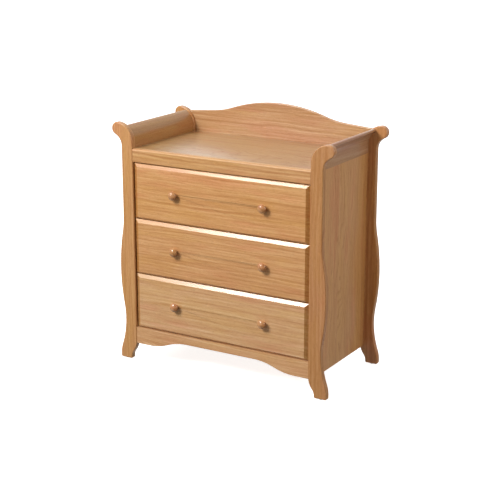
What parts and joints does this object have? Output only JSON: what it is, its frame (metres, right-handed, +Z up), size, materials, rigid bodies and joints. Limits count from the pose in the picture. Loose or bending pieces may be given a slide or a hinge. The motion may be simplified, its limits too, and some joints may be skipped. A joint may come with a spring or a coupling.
{
  "type": "changing table",
  "caption": "Sleigh-style changing chest: a flat changing surface between rolled ends and a crested back guard, over a stack of drawers on metal roller slides.",
  "frame": {"origin": "on the floor, under the middle of the bounding box", "axes": "+X to the chest's right as seen from the front, +Y from the drawers to the back, +Z up"},
  "size_m": [0.994, 0.502, 1.041],
  "materials": {
    "oak_finish": "satin lacquer",
    "oak_veneer": "satin lacquer",
    "drawer_box_wood": "sanded and sealed",
    "hardboard": "plain",
    "knob_wood": "satin lacquer",
    "white_steel": "powder coat",
    "nylon": "plain",
    "zinc_steel": "zinc plated",
    "glide_plastic": "plain"
  },
  "bodies": {
    "cabinet": {"front_left_post": "oak_finish", "front_right_post": "oak_finish", "rear_left_post": "oak_finish", "rear_right_post": "oak_finish", "left_side_panel": "oak_veneer", "right_side_panel": "oak_veneer", "left_end_scroll": "oak_finish", "right_end_scroll": "oak_finish", "top_panel": "oak_veneer", "back_guard": "oak_finish", "front_top_rail": "oak_finish", "front_apron": "oak_finish", "rear_bottom_rail": "drawer_box_wood", "back_panel": "hardboard", "floor_glides": "glide_plastic", "cam_locks": "zinc_steel", "cam_pins": "zinc_steel", "wood_screws": "zinc_steel", "lower_left_cabinet_runner": "white_steel", "lower_right_cabinet_runner": "white_steel", "middle_left_cabinet_runner": "white_steel", "middle_right_cabinet_runner": "white_steel", "upper_left_cabinet_runner": "white_steel", "upper_right_cabinet_runner": "white_steel"},
    "lower_drawer": {"lower_drawer_front": "oak_finish", "lower_drawer_left_side": "drawer_box_wood", "lower_drawer_right_side": "drawer_box_wood", "lower_drawer_back": "drawer_box_wood", "lower_drawer_bottom": "hardboard", "lower_left_drawer_runner": "white_steel", "lower_right_drawer_runner": "white_steel", "lower_left_knob": "knob_wood", "lower_right_knob": "knob_wood", "lower_knob_screws": "zinc_steel"},
    "lower_cabinet_rollers": {"lower_cabinet_rollers": "nylon"},
    "lower_drawer_rollers": {"lower_drawer_rollers": "nylon"},
    "middle_drawer": {"middle_drawer_front": "oak_finish", "middle_drawer_left_side": "drawer_box_wood", "middle_drawer_right_side": "drawer_box_wood", "middle_drawer_back": "drawer_box_wood", "middle_drawer_bottom": "hardboard", "middle_left_drawer_runner": "white_steel", "middle_right_drawer_runner": "white_steel", "middle_left_knob": "knob_wood", "middle_right_knob": "knob_wood", "middle_knob_screws": "zinc_steel"},
    "middle_cabinet_rollers": {"middle_cabinet_rollers": "nylon"},
    "middle_drawer_rollers": {"middle_drawer_rollers": "nylon"},
    "upper_drawer": {"upper_drawer_front": "oak_finish", "upper_drawer_left_side": "drawer_box_wood", "upper_drawer_right_side": "drawer_box_wood", "upper_drawer_back": "drawer_box_wood", "upper_drawer_bottom": "hardboard", "upper_left_drawer_runner": "white_steel", "upper_right_drawer_runner": "white_steel", "upper_left_knob": "knob_wood", "upper_right_knob": "knob_wood", "upper_knob_screws": "zinc_steel"},
    "upper_cabinet_rollers": {"upper_cabinet_rollers": "nylon"},
    "upper_drawer_rollers": {"upper_drawer_rollers": "nylon"}
  },
  "joints": [
    {"name": "lower_drawer_slide", "type": "slide", "parent": "cabinet", "child": "lower_drawer", "axis": [0, -1, 0], "range_m": [0, 0.3]},
    {"name": "lower_cabinet_roller_spin", "type": "hinge", "parent": "cabinet", "child": "lower_cabinet_rollers", "pos_m": [0, -0.189, 0.1875], "axis": [1, 0, 0], "continuous": true},
    {"name": "lower_drawer_roller_spin", "type": "hinge", "parent": "lower_drawer", "child": "lower_drawer_rollers", "pos_m": [0, 0.182, 0.1875], "axis": [1, 0, 0], "continuous": true},
    {"name": "middle_drawer_slide", "type": "slide", "parent": "cabinet", "child": "middle_drawer", "axis": [0, -1, 0], "range_m": [0, 0.3]},
    {"name": "middle_cabinet_roller_spin", "type": "hinge", "parent": "cabinet", "child": "middle_cabinet_rollers", "pos_m": [0, -0.189, 0.41717], "axis": [1, 0, 0], "continuous": true},
    {"name": "middle_drawer_roller_spin", "type": "hinge", "parent": "middle_drawer", "child": "middle_drawer_rollers", "pos_m": [0, 0.182, 0.41717], "axis": [1, 0, 0], "continuous": true},
    {"name": "upper_drawer_slide", "type": "slide", "parent": "cabinet", "child": "upper_drawer", "axis": [0, -1, 0], "range_m": [0, 0.3]},
    {"name": "upper_cabinet_roller_spin", "type": "hinge", "parent": "cabinet", "child": "upper_cabinet_rollers", "pos_m": [0, -0.189, 0.64683], "axis": [1, 0, 0], "continuous": true},
    {"name": "upper_drawer_roller_spin", "type": "hinge", "parent": "upper_drawer", "child": "upper_drawer_rollers", "pos_m": [0, 0.182, 0.64683], "axis": [1, 0, 0], "continuous": true}
  ],
  "couplings": [
    {"joint": "lower_cabinet_roller_spin", "follows": "lower_drawer_slide", "rad_per_m": 105.26},
    {"joint": "lower_drawer_roller_spin", "follows": "lower_drawer_slide", "rad_per_m": 105.26},
    {"joint": "middle_cabinet_roller_spin", "follows": "middle_drawer_slide", "rad_per_m": 105.26},
    {"joint": "middle_drawer_roller_spin", "follows": "middle_drawer_slide", "rad_per_m": 105.26},
    {"joint": "upper_cabinet_roller_spin", "follows": "upper_drawer_slide", "rad_per_m": 105.26},
    {"joint": "upper_drawer_roller_spin", "follows": "upper_drawer_slide", "rad_per_m": 105.26}
  ]
}
